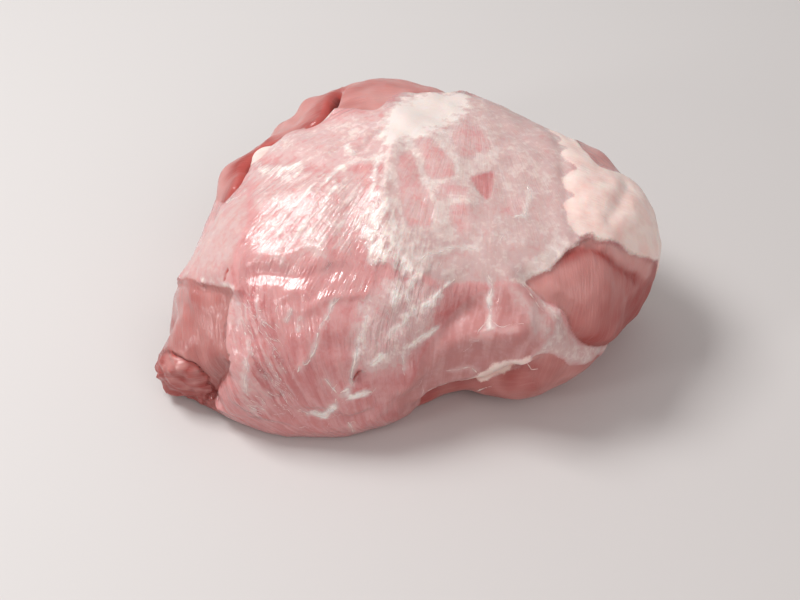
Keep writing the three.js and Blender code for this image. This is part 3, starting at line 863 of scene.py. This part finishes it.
# Each line wanders a little, is drawn onto the skin, sinks into it by a share of its radius, and is
# given a tube of uneven thickness
grow = bpy.data.node_groups.new("grow_sinews", "GeometryNodeTree")
sockets = {
    "Lines": "Geometry", "Skin": "Object", "Finish": "Material", "Spacing": "Float", "Wander": "Float",
    "Unevenness": "Float", "Sunk": "Float",
}
for name, kind in sockets.items():
    grow.interface.new_socket(name, in_out="INPUT", socket_type="NodeSocket" + kind)
grow.interface.new_socket("Sinews", in_out="OUTPUT", socket_type="NodeSocketGeometry")
given = {name: add_node(grow, "NodeGroupInput", output=name) for name in sockets}
lines = add_node(grow, "GeometryNodeMeshToCurve", {"Mesh": given["Lines"]})
lines = {"Curve": lines, "Length": given["Spacing"]}
lines = add_node(grow, "GeometryNodeResampleCurve", lines, mode="LENGTH")
here = add_node(grow, "GeometryNodeInputPosition")
swirl = {"Vector": here, "Scale": 1 / (4 * MM), "Detail": 2.0}
swirl = add_node(grow, "ShaderNodeTexNoise", swirl, output="Color")
swirl = {"Vector": swirl, "Vector_001": (0.5, 0.5, 0.5)}
swirl = add_node(grow, "ShaderNodeVectorMath", swirl, operation="SUBTRACT")
swirl = {"Vector": swirl, "Scale": given["Wander"]}
swirl = add_node(grow, "ShaderNodeVectorMath", swirl, operation="SCALE")
lines = add_node(grow, "GeometryNodeSetPosition", {"Geometry": lines, "Offset": swirl})
flesh = add_node(grow, "GeometryNodeObjectInfo", {"Object": given["Skin"]}, output="Geometry")
on_skin = {"Target": flesh, "Source Position": here}
on_skin = add_node(grow, "GeometryNodeProximity", on_skin, output="Position")
lines = add_node(grow, "GeometryNodeSetPosition", {"Geometry": lines, "Position": on_skin})
frayed = add_node(grow, "ShaderNodeTexNoise", {"Vector": here, "Scale": 1 / (2.2 * MM), "Detail": 2.0})
frayed = {
    "Value": frayed, "From Min": 0.35, "From Max": 0.65, "To Min": 0.05, "To Max": given["Unevenness"],
}
frayed = add_node(grow, "ShaderNodeMapRange", frayed)
radius = add_node(grow, "GeometryNodeInputNamedAttribute", {"Name": "thick"}, data_type="FLOAT")
radius = add_node(grow, "ShaderNodeMath", {"Value": radius, "Value_001": frayed}, operation="MULTIPLY")
outward = add_node(grow, "GeometryNodeInputNormal")
outward = {"Mesh": flesh, "Value": outward, "Sample Position": here}
outward = add_node(grow, "GeometryNodeSampleNearestSurface", outward, data_type="FLOAT_VECTOR")
depth = {"Value": radius, "Value_001": given["Sunk"]}
depth = add_node(grow, "ShaderNodeMath", depth, operation="MULTIPLY")
depth = add_node(grow, "ShaderNodeMath", {"Value": depth, "Value_001": -1.0}, operation="MULTIPLY")
sunk = add_node(grow, "ShaderNodeVectorMath", {"Vector": outward, "Scale": depth}, operation="SCALE")
lines = add_node(grow, "GeometryNodeSetPosition", {"Geometry": lines, "Offset": sunk})
ring = add_node(grow, "GeometryNodeCurvePrimitiveCircle", {"Resolution": 7, "Radius": 1.0})
tubes = {"Curve": lines, "Profile Curve": ring, "Scale": radius, "Fill Caps": True}
tubes = add_node(grow, "GeometryNodeCurveToMesh", tubes)
tubes = add_node(grow, "GeometryNodeRealizeInstances", {"Geometry": tubes})
tubes = add_node(grow, "GeometryNodeSetMaterial", {"Geometry": tubes, "Material": given["Finish"]})
add_node(grow, "NodeGroupOutput", {"Sinews": tubes})

growing = sinews.modifiers.new("grow", "NODES")
growing.node_group = grow
settings = {
    "Skin": roast, "Finish": sinew_white, "Spacing": 0.6 * MM, "Wander": 1.8 * MM, "Unevenness": 1.7,
    "Sunk": 0.7,
}
for item in grow.interface.items_tree:
    if item.name in settings:
        growing[item.identifier] = settings[item.name]
grown = bpy.data.meshes.new_from_object(sinews.evaluated_get(bpy.context.evaluated_depsgraph_get()))
sinews.modifiers.clear()
sinews.data = grown
grown.shade_smooth()
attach(sinews, "root")

# The floor: one plain pale sheet of matt paper, in metres and far wider than the view. It isn't part
# of the roast, and only takes its shadow.
FLOOR_HALF = 3.0
floor_mesh = bpy.data.meshes.new("floor")
corners = [(-1, -1), (1, -1), (1, 1), (-1, 1)]
floor_mesh.from_pydata([(x * FLOOR_HALF, y * FLOOR_HALF, 0) for x, y in corners], [], [(0, 1, 2, 3)])
floor = bpy.data.objects.new("floor", floor_mesh)
bpy.context.scene.collection.objects.link(floor)
paper = bpy.data.materials.new("pale_paper")
paper.use_nodes = True
paper_surface = paper.node_tree.nodes["Principled BSDF"]
paper_surface.inputs["Base Color"].default_value = linear("#D0CCCA")
paper_surface.inputs["Roughness"].default_value = 0.6
floor_mesh.materials.append(paper)

# The light: a soft box high on the left and a little behind, a small low one at the left front for the
# glints on the wet belly, a weak wide fill from the right front, and a pale room.
world = bpy.data.worlds.new("room")
world.use_nodes = True
world.node_tree.nodes["Background"].inputs["Color"].default_value = linear("#FFFFFF")
world.node_tree.nodes["Background"].inputs["Strength"].default_value = 0.42
bpy.context.scene.world = world


def soft_box(name, azimuth, elevation, distance, side, power, tint="#FFFFFF"):
    """A square area light, its azimuth from +Y by way of +X, aimed at the middle of the roast."""
    lamp = bpy.data.lights.new(name, "AREA")
    lamp.size = side
    lamp.energy = power
    lamp.color = linear(tint)[:3]
    light = bpy.data.objects.new(name, lamp)
    a, e = math.radians(azimuth), math.radians(elevation)
    aim = Vector((0, 0, HEIGHT * MM / 2))
    away = Vector((math.sin(a) * math.cos(e), math.cos(a) * math.cos(e), math.sin(e)))
    light.location = aim + distance * away
    light.rotation_euler = away.to_track_quat("Z", "Y").to_euler()
    bpy.context.scene.collection.objects.link(light)


soft_box("key", azimuth=-70, elevation=57, distance=1.0, side=0.38, power=7.6)
soft_box("side", azimuth=-122, elevation=22, distance=1.0, side=0.15, power=1.2)
soft_box("fill", azimuth=150, elevation=40, distance=1.5, side=1.0, power=4.3, tint="#FFEBE9")

# The camera: it stands where the photograph was taken from, and looks down at 45 degrees. Its place is
# in metres, and its lens and sensor are in millimetres.
CAMERA_PLACE = (-0.0045, -0.420, 0.419)
CAMERA_TILT = 45
LENS = 62.06
SENSOR_WIDTH = 36
camera_data = bpy.data.cameras.new("camera")
camera_data.lens = LENS
camera_data.sensor_width = SENSOR_WIDTH
camera = bpy.data.objects.new("camera", camera_data)
camera.location = CAMERA_PLACE
camera.rotation_euler = (math.radians(CAMERA_TILT), 0, 0)
bpy.context.scene.collection.objects.link(camera)
bpy.context.scene.camera = camera
bpy.context.scene.view_settings.view_transform = "Standard"
